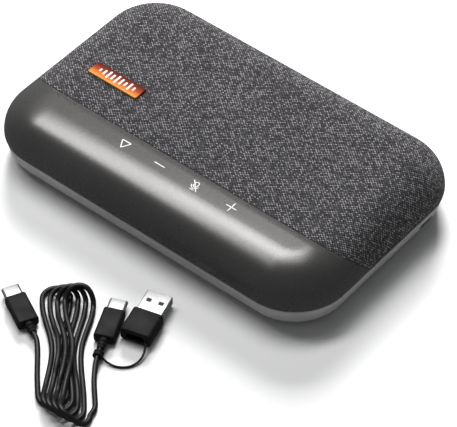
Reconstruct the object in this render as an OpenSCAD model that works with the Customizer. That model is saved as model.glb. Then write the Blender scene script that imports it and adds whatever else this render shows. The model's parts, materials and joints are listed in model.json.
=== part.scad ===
// Conference speakerphone with its supplied cable, in millimetres.
// Origin: centre of the footprint, on the table. +X right, +Y back, +Z up.

/* [Body] */
// Length of the body, left to right
body_l = 190; // [186:1:200]
// Width of the body, front to back
body_w = 120; // [118:1:126]
// Corner radius of the body seen from above
corner_r = 27.6; // [26:0.1:28]
// Height of the parting seam above the table
seam_z = 12.6; // [12.6:0.1:13]
// Height of the upper shell above the seam
crown_h = 17.5; // [17.5:0.1:19]
// How far the rounded top edge runs in from the side
roll_in = 22; // [21:0.1:22]
// Roundness of the top edge: 2 is an ellipse, more is squarer
roll_power = 2.13; // [2.1:0.01:2.3]

/* [Walls] */
// Wall of the upper and lower shells
wall = 2.2; // [2:0.1:2.4]
// Thickness of the fabric cover
fabric_t = 0.9; // [0.7:0.1:1]
// Thickness of the perforated frame under the fabric
frame_t = 1.8; // [1.6:0.1:2]
// Line where the front band ends and the fabric starts, behind the centre is positive
fabric_front = -28.6; // [-30:0.1:-28]
// How far the fabric's front edge leans back where it runs down the sides, in degrees
fabric_lean = 41; // [38:1:43]
// Height of the bare lip under the fabric
lip_h = 1.5; // [1:0.1:2]
// Gap between the upper and lower shells
seam_gap = 0.5; // [0.4:0.1:0.6]

/* [Controls] */
// Distance between neighbouring touch symbols
icon_pitch = 20.6; // [19:0.1:21]
// Travel of the power and pairing buttons
button_travel = 0.5; // [0.4:0.1:0.6]

/* [Cable] */
// Diameter of the cable
cord_d = 2.4; // [2.2:0.1:2.5]
// Height of the folded hank above the table
hank_h = 9; // [7:0.5:10]

/* [Hidden] */
$fn = 48;
far = 300;

// Heights
top_z = seam_z + crown_h;
base_bottom_z = 2.0;
base_inner_z = 4.6;
lip_z = seam_z + seam_gap / 2 + lip_h;

// Upper form
corner_steps = 6;
hem_corner_r = 3;
roll_steps = [15, 25, 35, 45, 55, 65, 75, 83, 90];

// Screw posts: place and height of the top. The front pair is on the upper shell, the others on the grille frame
front_posts = [[-82, -36, 26.4], [82, -36, 26.4]];
frame_posts = [[-80, -6, 26.6], [80, -6, 26.6], [-70, 47.5, 25.6], [70, 47.5, 25.6]];
post_r = 3.2;
post_bore_r = 1.0;
post_clearance_r = 1.2;
post_z = 11.2;
screw_head_r = 2.5;
screw_shaft_r = 0.95;
screw_seat_z = 4.0;

// Foot
foot_inset = 11;
foot_band = 7;
foot_groove = 0.8;

// Port and rear buttons
port_y = 29.7;
port_z = 6.3;
port_l = 9.2;
port_h = 3.3;
button_z = 8.2;
button_l = 13;
button_h = 3.6;
power_x = -24;
pairing_x = -4;
button_gap = 0.25;
button_face_y = body_w / 2 - 0.3;

// Touch symbols
icon_x0 = -27.2;
icon_y = -35.7;
icon_t = 0.1;

// Badge
badge_pos = [-56.4, -7.1];
badge_size = [29, 8];
badge_t = 1.0;

// Speaker box
box_size = [132, 71];
box_y = 13.5;
box_r = 14;
box_z = [4.9, 20.4];
box_wall = 1.6;
baffle_z = 22.0;
driver_pos = [0, 14];
radiator_x = 46;
driver_hole_r = 21.4;
radiator_hole_r = 16.8;

// Boards and battery
board_t = 1.2;
main_board_pos = [42, -39.5];
main_board_size = [72, 25];
main_board_z = 7.4;
battery_r = 9;
battery_l = 66;
battery_pos = [-41, -42.5, 14.4];
touch_board_z = 25.2;
mic_spots = [[-79, -20], [79, -20], [-79, 18], [79, 10]];
mic_z = 22.6;
mic_port_r = 1.1;
ribbon_y = -36.5;

// Cable: a local frame on the table, +Y along the hank
cable_turn = 39.4;
cable_pos = [17, -129, 0];
cord_r = cord_d / 2;
grip_l = 16.5;
grip_size = [9.8, 5.4];
relief_l = 5.5;
relief_r = 2;
plug_a_tail = [-12.7, 12.3, 2.7];
plug_a_turn = 24;
plug_b_tail = [16.4, 3, 2.7];
plug_b_turn = -15;
adapter_size = [14.4, 7.2, 14];
adapter_tail = [31.2, 8.5, adapter_size.y / 2];
adapter_turn = -24;
lead_a_route = [[-12.7, 12.3, 2.7], [-11.3, 9, 2.3], [-10.7, 5.5, 1.6], [-10.4, 1, 1.2], [-10.3, -3, 1.2],
    [-10.1, -9, 1.2], [-9.7, -15, 1.2], [-9.2, -20.8, 1.2]];
lead_b_route = [[16.4, 3, 2.7], [15.9, 1, 2.6], [15.3, -1.2, 2.35], [14.8, -4, 1.8], [14.4, -8, 1.3],
    [14.3, -14, 1.2], [14.8, -21, 1.2], [15.2, -28, 1.2]];
strap_route = [[17.2, -0.4, 1.6], [19.2, -2.6, 0.9], [22.4, -4.6, 0.6], [26, -5.4, 0.55], [29.8, -4.8, 0.6],
    [33, -2.6, 1], [35, 0.6, 1.8], [35.8, 4, 2.9], [36.3, 7.2, 3.5]];
strap_r = 0.5;
// Plan of the folded turns: wide at both folds, narrow at the waist
hank_outline = [[-11.2, 33], [-9.6, 22], [-5.6, 4], [-6.6, -8], [-10.4, -20], [-9, -25], [-3, -28.2],
    [3, -34], [9, -37.6], [14.5, -35], [16.4, -30], [14, -24], [9.4, -4], [9.4, 6], [13.8, 24],
    [13.8, 30], [11, 34.6], [4, 38], [-4, 40.6], [-9.6, 37.8]];

// ---- Shared shapes ----

function arc_points(centre, r, from, steps) =
    [for (i = [0:steps]) centre + r * [cos(from + 90 * i / steps), sin(from + 90 * i / steps)]];

function outline(l, w, r) = concat(
    arc_points([l / 2 - r, w / 2 - r], r, 0, corner_steps),
    arc_points([r - l / 2, w / 2 - r], r, 90, corner_steps),
    arc_points([r - l / 2, r - w / 2], r, 180, corner_steps),
    arc_points([l / 2 - r, r - w / 2], r, 270, corner_steps));

function body_ring(inset, z) =
    [for (p = outline(body_l - 2 * inset, body_w - 2 * inset, corner_r - inset)) [p.x, p.y, z]];

function roll_inset(t) = roll_in * (1 - pow(cos(t), 2 / roll_power));
function roll_height(t, h) = h * pow(sin(t), 2 / roll_power);

// Rings of the upper form, a depth d under its surface, from height z0 up
function crown_rings(d, z0) = concat(
    [body_ring(d, z0)],
    [for (t = roll_steps) body_ring(d + roll_inset(t), seam_z + roll_height(t, crown_h - d))]);

// Closed solid through rings of equal point counts
module loft(rings) {
    n = len(rings[0]);
    m = len(rings);
    sides = [for (k = [0:m - 2]) for (i = [0:n - 1])
        [k * n + i, (k + 1) * n + i, (k + 1) * n + (i + 1) % n, k * n + (i + 1) % n]];
    caps = [[for (i = [0:n - 1]) i], [for (i = [n - 1:-1:0]) (m - 1) * n + i]];
    polyhedron(points = [for (r = rings) each r], faces = concat(caps, sides));
}

module plate(size, r, z0, z1) {
    translate([0, 0, z0]) linear_extrude(z1 - z0) polygon(outline(size.x, size.y, r));
}

module disc(r, z0, z1) {
    translate([0, 0, z0]) cylinder(r = r, h = z1 - z0);
}

module ring(r_out, r_in, z0, z1) {
    difference() {
        disc(r_out, z0, z1);
        disc(r_in, z0 - 1, z1 + 1);
    }
}

module block(centre, size) {
    translate(centre) cube(size, center = true);
}

module at_each(spots, z = 0) {
    for (p = spots) translate([p.x, p.y, z]) children();
}

function unit(v) = v / norm(v);
function heading(path, i) = unit(path[min(i + 1, len(path) - 1)] - path[max(i - 1, 0)]);
function tube_ring(p, t, r) = let (side = unit(cross(t, [0, 0, 1])), down = cross(t, side))
    [for (k = [0:7]) p + r * (cos(45 * k) * side + sin(45 * k) * down)];

module tube(path, r) {
    loft([for (i = [0:len(path) - 1]) tube_ring(path[i], heading(path, i), r)]);
}

// Everything above height z and behind a plane that meets the top at y and leans back below it
module fabric_zone(y, z) {
    slope = tan(fabric_lean);
    rotate([90, 0, 90]) translate([0, 0, -far / 2]) linear_extrude(far)
        offset(r = hem_corner_r) offset(delta = -hem_corner_r)
            polygon([[y + (top_z - z) * slope, z], [far, z], [far, far], [y - (far - top_z) * slope, far]]);
}

// ---- Housing ----

module base_shell() {
    color([0.40, 0.40, 0.40]) {
        difference() {
            loft([body_ring(8, base_bottom_z), body_ring(3, 3.2), body_ring(2.1, 4.2), body_ring(0.2, 12.35)]);
            loft([body_ring(4.6, base_inner_z), body_ring(2.4, 14)]);
            foot_groove();
            at_each(concat(front_posts, frame_posts)) {
                disc(post_clearance_r, base_bottom_z - 1, 6);
                disc(screw_head_r + 0.3, base_bottom_z - 1, screw_seat_z);
            }
            port_cut();
            rear_cut(power_x);
            rear_cut(pairing_x);
        }
        at_each(concat(front_posts, frame_posts)) ring(post_r, post_clearance_r, base_inner_z, post_z);
    }
}

module foot_groove() {
    difference() {
        plate([body_l - 2 * foot_inset, body_w - 2 * foot_inset], corner_r - foot_inset,
            base_bottom_z - 1, base_bottom_z + foot_groove);
        plate([body_l - 2 * (foot_inset + foot_band), body_w - 2 * (foot_inset + foot_band)],
            corner_r - foot_inset - foot_band, base_bottom_z - 2, base_bottom_z + 2);
    }
}

module port_cut() {
    translate([body_l / 2 - 8, port_y, port_z]) rotate([90, 0, 90]) plate([port_l, port_h], port_h / 2 - 0.01, 0, 12);
}

module rear_cut(x) {
    translate([x, body_w / 2 + 2, button_z]) rotate([90, 0, 0])
        plate([button_l + 2 * button_gap, button_h + 2 * button_gap], button_h / 2 + button_gap - 0.01, 0, 8);
}

module foot_pad() {
    gap = 0.1;
    color([0.13, 0.13, 0.14]) difference() {
        plate([body_l - 2 * (foot_inset + gap), body_w - 2 * (foot_inset + gap)], corner_r - foot_inset - gap,
            0, base_bottom_z + foot_groove);
        plate([body_l - 2 * (foot_inset + foot_band - gap), body_w - 2 * (foot_inset + foot_band - gap)],
            corner_r - foot_inset - foot_band + gap, -1, base_bottom_z + 2);
    }
}

module base_screws() {
    color([0.55, 0.55, 0.57]) at_each(concat(front_posts, frame_posts)) difference() {
        union() {
            disc(screw_head_r, screw_seat_z - 1.1, screw_seat_z);
            disc(screw_shaft_r, screw_seat_z, 17);
        }
        disc(0.9, screw_seat_z - 2, screw_seat_z - 0.5);
    }
}

module seam_gasket() {
    color([0.04, 0.04, 0.04]) difference() {
        loft([body_ring(0.7, 12.35), body_ring(0.7, seam_z + seam_gap / 2)]);
        loft([body_ring(wall, 12), body_ring(wall, 13.5)]);
    }
}

module upper_shell() {
    color([0.32, 0.31, 0.30]) difference() {
        union() {
            difference() {
                loft(crown_rings(0, seam_z + seam_gap / 2));
                loft(crown_rings(wall, seam_z - 1));
                fabric_zone(fabric_front - 0.3, lip_z);
            }
            for (p = front_posts) translate([p.x, p.y, 0]) disc(post_r, post_z, p.z);
        }
        at_each(front_posts) disc(post_bore_r, post_z - 1, 18);
    }
}

module grille_frame() {
    color([0.12, 0.12, 0.12]) difference() {
        union() {
            intersection() {
                difference() {
                    loft(crown_rings(fabric_t, lip_z - 1));
                    loft(crown_rings(fabric_t + frame_t, seam_z - 1));
                }
                fabric_zone(fabric_front + fabric_t, lip_z);
            }
            for (p = frame_posts) translate([p.x, p.y, 0]) disc(post_r, post_z, p.z);
        }
        at_each(frame_posts) disc(post_bore_r, post_z - 1, 18);
        for (x = [-radiator_x, 0, radiator_x]) for (k = [-4:4])
            block([x, box_y + 4.4 * k, top_z], [36, 2.2, 8]);
        at_each(mic_spots) disc(mic_port_r, 20, 40);
    }
}

module fabric_cover() {
    color([0.30, 0.29, 0.30]) intersection() {
        difference() {
            loft(crown_rings(0, lip_z + 0.1));
            loft(crown_rings(fabric_t, lip_z - 1));
        }
        fabric_zone(fabric_front, lip_z);
    }
}

// ---- Band controls ----

module badge() {
    color([0.85, 0.35, 0.08]) translate([badge_pos.x, badge_pos.y, 0]) plate(badge_size, 1, top_z, top_z + badge_t);
}

module bar_symbol(size) {
    plate([size, 0.8], 0.35, 0, icon_t);
}

module triangle_symbol() {
    difference() {
        linear_extrude(icon_t) polygon([[-2.6, 2], [2.6, 2], [0, -2.9]]);
        translate([0, 0, -1]) linear_extrude(3) polygon([[-1.6, 1.4], [1.6, 1.4], [0, -1.7]]);
    }
}

module microphone_symbol() {
    plate([1.8, 3.4], 0.85, 0, icon_t);
    translate([0, -2.9, 0]) plate([2.6, 0.6], 0.25, 0, icon_t);
}

module touch_symbols() {
    color("white") translate([icon_x0, icon_y, top_z]) {
        triangle_symbol();
        translate([icon_pitch, 0, 0]) bar_symbol(6);
        translate([2 * icon_pitch, 0, 0]) microphone_symbol();
        translate([3 * icon_pitch, 0, 0]) {
            bar_symbol(5.6);
            plate([0.8, 5.6], 0.35, 0, icon_t);
        }
    }
}

module each_icon(z) {
    for (k = [0:3]) translate([icon_x0 + k * icon_pitch, icon_y, z]) children();
}

module touch_board() {
    color([0.05, 0.25, 0.15]) translate([icon_x0 + 1.5 * icon_pitch, icon_y - 1, 0])
        plate([86, 14], 2, touch_board_z, touch_board_z + board_t);
}

module symbol_leds() {
    color([0.95, 0.95, 0.85]) each_icon(touch_board_z + board_t) block([0, 0, 0.3], [1.6, 0.8, 0.6]);
}

module light_guides() {
    color([0.9, 0.9, 0.9]) each_icon(0) disc(1.6, touch_board_z + board_t + 0.6, top_z - wall - 0.1);
}

// ---- Electronics ----

module main_board() {
    color([0.05, 0.25, 0.15]) difference() {
        translate([main_board_pos.x, main_board_pos.y, 0])
            plate(main_board_size, 2, main_board_z, main_board_z + board_t);
        board_screw_spots() disc(1.2, 0, 20);
    }
}

module board_screw_spots() {
    for (sx = [-1, 1]) for (sy = [-1, 1])
        translate([main_board_pos.x + sx * (main_board_size.x / 2 - 3),
            main_board_pos.y + sy * (main_board_size.y / 2 - 3), 0]) children();
}

module board_screws() {
    color([0.6, 0.6, 0.6]) board_screw_spots() {
        disc(2.2, main_board_z + board_t, main_board_z + board_t + 1);
        disc(1.0, base_inner_z + 0.1, main_board_z + board_t);
    }
}

module shield_can() {
    color([0.75, 0.75, 0.77]) translate([58, main_board_pos.y, 0]) difference() {
        plate([26, 17], 0.8, main_board_z + board_t, main_board_z + board_t + 2.4);
        plate([25.4, 16.4], 0.6, main_board_z, main_board_z + board_t + 2.1);
    }
}

module board_chips() {
    z = main_board_z + board_t;
    color([0.07, 0.07, 0.08]) {
        block([58, main_board_pos.y, z + 0.5], [11, 11, 1]);
        block([34, main_board_pos.y + 3, z + 0.5], [9, 9, 1]);
        block([22, main_board_pos.y + 4, z + 0.4], [6, 5, 0.8]);
    }
}

module board_capacitors() {
    color([0.25, 0.25, 0.3]) for (k = [0:2])
        translate([18 + 7.5 * k, main_board_pos.y - 7, 0]) disc(2.6, main_board_z + board_t, main_board_z + board_t + 6);
}

module ribbon_cable() {
    color([0.8, 0.55, 0.2]) {
        block([3, ribbon_y, (touch_board_z + main_board_z + board_t) / 2], [0.3, 8, touch_board_z - main_board_z - board_t]);
        block([5.6, ribbon_y, main_board_z + board_t + 0.15], [5, 8, 0.3]);
    }
}

module battery_cell() {
    color([0.2, 0.45, 0.3]) translate(battery_pos) rotate([0, 90, 0])
        cylinder(r = battery_r, h = battery_l, center = true);
}

module battery_cradle() {
    color([0.12, 0.12, 0.12]) difference() {
        block([battery_pos.x, battery_pos.y, 7.8], [battery_l + 4, 20, 6.2]);
        translate(battery_pos) rotate([0, 90, 0]) cylinder(r = battery_r + 0.1, h = battery_l + 0.4, center = true);
    }
}

module usb_board() {
    z = port_z + 1.65;
    color([0.05, 0.25, 0.15]) translate([82.5, port_y, 0]) plate([15, 18], 1.5, z, z + board_t);
}

module usb_socket() {
    color([0.7, 0.7, 0.72]) translate([83.2, port_y, port_z + 0.1]) rotate([90, 0, 90]) {
        difference() {
            plate([8.9, 3.1], 1.5, 0, 7.4);
            plate([8.3, 2.5], 1.2, 0.6, 9);
        }
        plate([6.6, 0.7], 0.3, 0.6, 6.4);
    }
}

module switch_board() {
    color([0.05, 0.25, 0.15]) block([(power_x + pairing_x) / 2, 51.6, button_z], [42, 1.2, 6.6]);
}

module tact_switches() {
    color([0.2, 0.2, 0.2]) for (x = [power_x, pairing_x]) block([x, 52.9, button_z], [4.2, 1.4, 3.2]);
}

module rear_button(x) {
    face_l = 5;
    translate([x, button_face_y, button_z]) rotate([90, 0, 0]) {
        plate([button_l, button_h], button_h / 2 - 0.01, 0, face_l);
        plate([2, 2], 0.5, face_l, button_face_y - 53.6 - button_travel);
    }
}

module power_button() {
    color([0.30, 0.30, 0.30]) rear_button(power_x);
}

module pairing_button() {
    color([0.30, 0.30, 0.30]) rear_button(pairing_x);
}

module microphone_boards() {
    color([0.05, 0.25, 0.15]) at_each(mic_spots) difference() {
        plate([9, 9], 1.5, mic_z, mic_z + 1);
        disc(0.6, mic_z - 1, mic_z + 2);
    }
}

module microphone_gaskets() {
    color([0.05, 0.05, 0.05]) at_each(mic_spots) ring(2.6, mic_port_r, mic_z + 1, mic_z + 1.8);
}

// ---- Speaker ----

module speaker_plate(size_cut, z0, z1) {
    translate([0, box_y, 0]) plate([box_size.x - size_cut, box_size.y - size_cut], box_r - size_cut / 2, z0, z1);
}

module speaker_holes(z0, z1) {
    at_each([driver_pos]) disc(driver_hole_r, z0, z1);
    at_each([[-radiator_x, driver_pos.y], [radiator_x, driver_pos.y]]) disc(radiator_hole_r, z0, z1);
}

module speaker_box() {
    color([0.10, 0.10, 0.10]) difference() {
        speaker_plate(0, box_z[0], box_z[1]);
        speaker_plate(2 * box_wall, box_z[0] + 1.4, box_z[1] + 1);
    }
}

module speaker_gasket() {
    color([0.03, 0.03, 0.03]) difference() {
        speaker_plate(0, box_z[1], box_z[1] + 0.4);
        speaker_plate(2 * box_wall, box_z[1] - 1, box_z[1] + 1);
    }
}

module speaker_baffle() {
    color([0.14, 0.14, 0.14]) difference() {
        speaker_plate(0, box_z[1] + 0.4, baffle_z);
        speaker_holes(box_z[1] - 1, baffle_z + 1);
    }
}

module driver_basket() {
    color([0.25, 0.25, 0.26]) at_each([driver_pos]) difference() {
        rotate_extrude() polygon([[7.6, 12.6], [21.2, 12.6], [21.2, 22.0], [24.4, 22.0], [24.4, 23.2], [20.4, 23.2],
            [20.4, 13.4], [7.6, 13.4]]);
        for (a = [45, 135]) rotate([0, 0, a]) block([0, 0, 17], [60, 16, 4.6]);
        driver_screw_spots() disc(1.0, 20, 26);
    }
}

module driver_screw_spots() {
    for (a = [0:90:270]) rotate([0, 0, a]) translate([22.8, 0, 0]) children();
}

module driver_screws() {
    color([0.6, 0.6, 0.62]) at_each([driver_pos]) driver_screw_spots() {
        disc(1.4, 23.2, 24.0);
        disc(0.9, 22.05, 23.2);
    }
}

module driver_magnet() {
    color([0.5, 0.5, 0.52]) at_each([driver_pos]) rotate_extrude()
        polygon([[0, 6.9], [15, 6.9], [15, 12.6], [7.2, 12.6], [7.2, 8.1], [5.5, 8.1], [5.5, 12.6], [0, 12.6]]);
}

module driver_cone() {
    color([0.08, 0.08, 0.09]) at_each([driver_pos]) rotate_extrude()
        polygon([[6.5, 16.0], [7.0, 16.0], [16.8, 22.2], [16.8, 22.8], [16.3, 22.8], [6.5, 16.6]]);
}

module driver_dust_cap() {
    color([0.05, 0.05, 0.05]) at_each([driver_pos]) rotate_extrude()
        polygon([[0, 18.4], [2, 18.2], [4, 17.6], [5.6, 16.9], [6.5, 16.7], [6.5, 16.3], [5.5, 16.4], [3.9, 17.1],
            [2, 17.7], [0, 17.9]]);
}

module voice_coil() {
    color([0.72, 0.40, 0.15]) at_each([driver_pos]) {
        ring(6.4, 6.0, 10.6, 16.2);
        ring(6.8, 6.4, 10.6, 13.6);
    }
}

module driver_spider() {
    color([0.75, 0.6, 0.3]) at_each([driver_pos]) ring(20.3, 6.9, 13.5, 13.9);
}

module roll_surround(centre_r) {
    rotate_extrude() translate([centre_r, 22.8]) polygon(concat(
        [for (a = [0:15:180]) 1.7 * [cos(a), sin(a)]],
        [for (a = [180:-15:0]) 1.35 * [cos(a), sin(a)]]));
}

module driver_surround() {
    color([0.04, 0.04, 0.04]) at_each([driver_pos]) roll_surround(18.6);
}

module radiator_frame(x) {
    color([0.25, 0.25, 0.26]) at_each([[x, driver_pos.y]]) ring(19, 16.2, baffle_z, 23.2);
}

module radiator_plate(x) {
    color([0.08, 0.08, 0.09]) at_each([[x, driver_pos.y]]) {
        disc(12.6, 21.8, 23.0);
        disc(7, 20.6, 21.8);
    }
}

module radiator_surround(x) {
    color([0.04, 0.04, 0.04]) at_each([[x, driver_pos.y]]) roll_surround(14.4);
}

module left_radiator_frame() radiator_frame(-radiator_x);
module left_radiator() radiator_plate(-radiator_x);
module left_radiator_surround() radiator_surround(-radiator_x);
module right_radiator_frame() radiator_frame(radiator_x);
module right_radiator() radiator_plate(radiator_x);
module right_radiator_surround() radiator_surround(radiator_x);

// ---- Cable ----

module on_table() {
    translate(cable_pos) rotate([0, 0, cable_turn]) children();
}

// Stands a piece built along +Z so that it lies on the table, its base at tail, pointing turn degrees left of +Y
module lay_from(tail, turn) {
    on_table() translate(tail) rotate([0, 0, turn]) rotate([-90, 0, 0]) children();
}

module cable_leads() {
    color([0.05, 0.05, 0.05]) on_table() {
        tube(lead_a_route, cord_r);
        tube(lead_b_route, cord_r);
    }
}

module cable_hank() {
    color([0.05, 0.05, 0.05]) on_table() linear_extrude(hank_h) polygon(hank_outline);
}

module plug_grip(tail, turn) {
    color([0.06, 0.06, 0.06]) lay_from(tail, turn) {
        cylinder(r = relief_r, h = relief_l);
        plate(grip_size, 2.4, relief_l, relief_l + grip_l);
    }
}

module plug_shell(tail, turn) {
    color([0.75, 0.75, 0.77]) lay_from(tail, turn) difference() {
        plate([8.34, 2.56], 1.27, relief_l + grip_l, relief_l + grip_l + 6.65);
        plate([7.6, 1.8], 0.8, relief_l + grip_l + 1, relief_l + grip_l + 8);
    }
}

module plug_a_grip() plug_grip(plug_a_tail, plug_a_turn);
module plug_a_shell() plug_shell(plug_a_tail, plug_a_turn);
module plug_b_grip() plug_grip(plug_b_tail, plug_b_turn);
module plug_b_shell() plug_shell(plug_b_tail, plug_b_turn);

module strap_ring() {
    color([0.05, 0.05, 0.05]) lay_from([15.3, -1.2, 2.35], plug_b_turn) ring(2.3, cord_r + 0.15, 0, 3);
}

module adapter_strap() {
    color([0.05, 0.05, 0.05]) on_table() tube(strap_route, strap_r);
}

module adapter_body() {
    color([0.06, 0.06, 0.06]) lay_from(adapter_tail, adapter_turn) difference() {
        plate([adapter_size.x, adapter_size.y], 2.4, 0, adapter_size.z);
        plate([9, 3.2], 1.5, -1, 8);
    }
}

module adapter_shell() {
    color([0.75, 0.75, 0.77]) lay_from(adapter_tail, adapter_turn) difference() {
        plate([12, 4.5], 0.5, adapter_size.z, adapter_size.z + 12);
        plate([11.4, 3.9], 0.3, adapter_size.z + 0.5, adapter_size.z + 13);
    }
}

module adapter_tongue() {
    color([0.85, 0.85, 0.85]) lay_from(adapter_tail, adapter_turn) translate([0, 0.9, 0])
        plate([11, 1.8], 0.3, adapter_size.z + 0.5, adapter_size.z + 11.4);
}

base_shell();
foot_pad();
base_screws();
seam_gasket();
upper_shell();
grille_frame();
fabric_cover();
badge();
touch_symbols();
touch_board();
symbol_leds();
light_guides();
main_board();
board_screws();
shield_can();
board_chips();
board_capacitors();
ribbon_cable();
battery_cell();
battery_cradle();
usb_board();
usb_socket();
switch_board();
tact_switches();
power_button();
pairing_button();
microphone_boards();
microphone_gaskets();
speaker_box();
speaker_baffle();
speaker_gasket();
driver_basket();
driver_magnet();
driver_cone();
driver_dust_cap();
voice_coil();
driver_spider();
driver_surround();
driver_screws();
left_radiator_frame();
left_radiator();
left_radiator_surround();
right_radiator_frame();
right_radiator();
right_radiator_surround();
cable_leads();
cable_hank();
plug_a_shell();
plug_a_grip();
plug_b_shell();
plug_b_grip();
strap_ring();
adapter_strap();
adapter_body();
adapter_shell();
adapter_tongue();
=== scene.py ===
"""Conference speakerphone: fabric top, satin touch band and folded USB cable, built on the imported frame."""
import json
import math

import bmesh
import bpy
import numpy
from mathutils import Matrix, Vector


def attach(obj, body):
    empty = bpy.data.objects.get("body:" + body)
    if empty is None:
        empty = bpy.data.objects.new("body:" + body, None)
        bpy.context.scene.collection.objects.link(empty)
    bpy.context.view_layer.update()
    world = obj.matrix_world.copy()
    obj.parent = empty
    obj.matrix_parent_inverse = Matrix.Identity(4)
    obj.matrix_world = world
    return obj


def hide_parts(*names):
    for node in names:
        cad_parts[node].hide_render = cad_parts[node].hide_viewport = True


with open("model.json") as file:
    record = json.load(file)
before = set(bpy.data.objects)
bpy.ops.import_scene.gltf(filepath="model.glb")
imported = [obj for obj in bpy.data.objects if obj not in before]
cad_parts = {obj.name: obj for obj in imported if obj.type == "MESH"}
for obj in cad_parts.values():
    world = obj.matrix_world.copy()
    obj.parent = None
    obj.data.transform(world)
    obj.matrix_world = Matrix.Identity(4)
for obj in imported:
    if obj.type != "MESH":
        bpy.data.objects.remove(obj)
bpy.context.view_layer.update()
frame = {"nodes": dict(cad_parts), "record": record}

# ---------------------------------------------------------------- sizes, in millimetres as in part.scad
MM = 0.001
BODY_L, BODY_W, CORNER_R = 190.0, 120.0, 27.6
SEAM_Z, CROWN_H = 12.6, 17.5
ROLL_IN, ROLL_POWER = 22.0, 2.13
WALL, FABRIC_T = 2.2, 0.9
SEAM_GAP, LIP_H = 0.5, 1.5
FABRIC_FRONT = -28.6
FABRIC_LEAN = math.radians(41)
BAND_GAP = 0.3
LIP_Z = SEAM_Z + SEAM_GAP / 2 + LIP_H
TOP_Z = SEAM_Z + CROWN_H
FABRIC_CORNER_R = 3.0

ICON_X0, ICON_PITCH, ICON_Y = -27.2, 20.6, -35.7
BADGE_AT, BADGE_SIZE, BADGE_T = (-56.4, -7.1), (29.0, 8.0), 1.0

PORT_Y, PORT_Z, PORT_SIZE = 29.7, 6.3, (9.2, 3.3)
BUTTON_Z, BUTTON_SIZE, BUTTON_GAP = 8.2, (13.0, 3.6), 0.25
BUTTON_X = {"power_button": -24.0, "pairing_button": -4.0}
BUTTON_FACE_Y = BODY_W / 2 - 0.3

FOOT_INSET, FOOT_BAND, FOOT_H = 11.0, 7.0, 2.8

CABLE_TURN = math.radians(39.4)
CABLE_AT = (17.0, -129.0, 0.0)
CORD_D = 2.4
RELIEF_L, RELIEF_OVAL, RELIEF_SIDES = 5.5, 1.12, 28
GRIP_L, GRIP_SIZE = 16.5, (9.8, 5.4)
USB_C_SHELL, USB_C_HOLE, USB_C_REACH = (8.34, 2.56), (7.6, 1.85), 6.65
USB_A_SHELL, USB_A_HOLE, USB_A_REACH = (12, 4.5), (11.3, 3.8), 12
SOCKET_HOLE = (8.9, 3.1)
# The place where each plug's relief starts, from the cable's own origin, and its turn in degrees
PLUGS = {"plug_a": ((-12.7, 12.3, 2.7), 24), "plug_b": ((16.4, 3, 2.7), -15)}
RING_AT = (15.3, -1.2, 2.35)
ADAPTER_SIZE, ADAPTER_TAIL, ADAPTER_TURN = (14.4, 7.2, 14.0), (31.2, 8.5, 3.6), -24
LEAD_A = [(-12.7, 12.3, 2.7), (-11.3, 9, 2.3), (-10.7, 5.5, 1.6), (-10.4, 1, 1.2), (-10.3, -3, 1.2),
          (-10.1, -9, 1.2), (-9.7, -15, 1.2)]
LEAD_B = [(15.2, -28, 1.2), (14.8, -21, 1.2), (14.3, -14, 1.2), (14.4, -8, 1.3), (14.8, -4, 1.8),
          RING_AT, (15.9, 1, 2.6), (16.4, 3, 2.7)]
STRAP = [(17.2, -0.4, 1.6), (19.2, -2.6, 0.9), (22.4, -4.6, 0.6), (26, -5.4, 0.55), (29.8, -4.8, 0.6),
         (33, -2.6, 1), (35, 0.6, 1.8), (35.8, 4, 2.9), (36.3, 7.2, 3.5)]

# ---------------------------------------------------------------- camera, stage and light
AZIMUTH, ELEVATION = math.radians(39.375), math.radians(46.49)
TARGET = Vector((25.4, -26.5, SEAM_Z)) * MM
DISTANCE = 1.181
FOCAL = 209.0


def direction(azimuth, elevation):
    """Unit vector towards a viewer at this azimuth and elevation; azimuth 0 is the front."""
    return Vector((math.sin(azimuth) * math.cos(elevation), -math.cos(azimuth) * math.cos(elevation),
                   math.sin(elevation)))


def add_camera():
    data = bpy.data.cameras.new("camera")
    data.lens = FOCAL
    data.sensor_width = 36.0
    data.clip_start, data.clip_end = 0.05, 20.0
    camera = bpy.data.objects.new("camera", data)
    camera.location = TARGET + DISTANCE * direction(AZIMUTH, ELEVATION)
    camera.rotation_euler = (math.pi / 2 - ELEVATION, 0, AZIMUTH)
    bpy.context.scene.collection.objects.link(camera)
    bpy.context.scene.camera = camera


def add_area(name, towards, distance, size, power, turn=0.0):
    """A rectangular softbox at distance along the direction towards, facing the object."""
    data = bpy.data.lights.new(name, "AREA")
    data.shape = "RECTANGLE"
    data.size, data.size_y = size
    data.energy = power
    lamp = bpy.data.objects.new(name, data)
    towards = Vector(towards).normalized()
    lamp.location = towards * distance
    facing = towards.to_track_quat("Z", "Y").to_matrix().to_4x4()
    lamp.rotation_euler = (facing @ Matrix.Rotation(turn, 4, "Z")).to_euler()
    bpy.context.scene.collection.objects.link(lamp)
    return lamp


add_camera()

# ---------------------------------------------------------------- node material helpers


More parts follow.
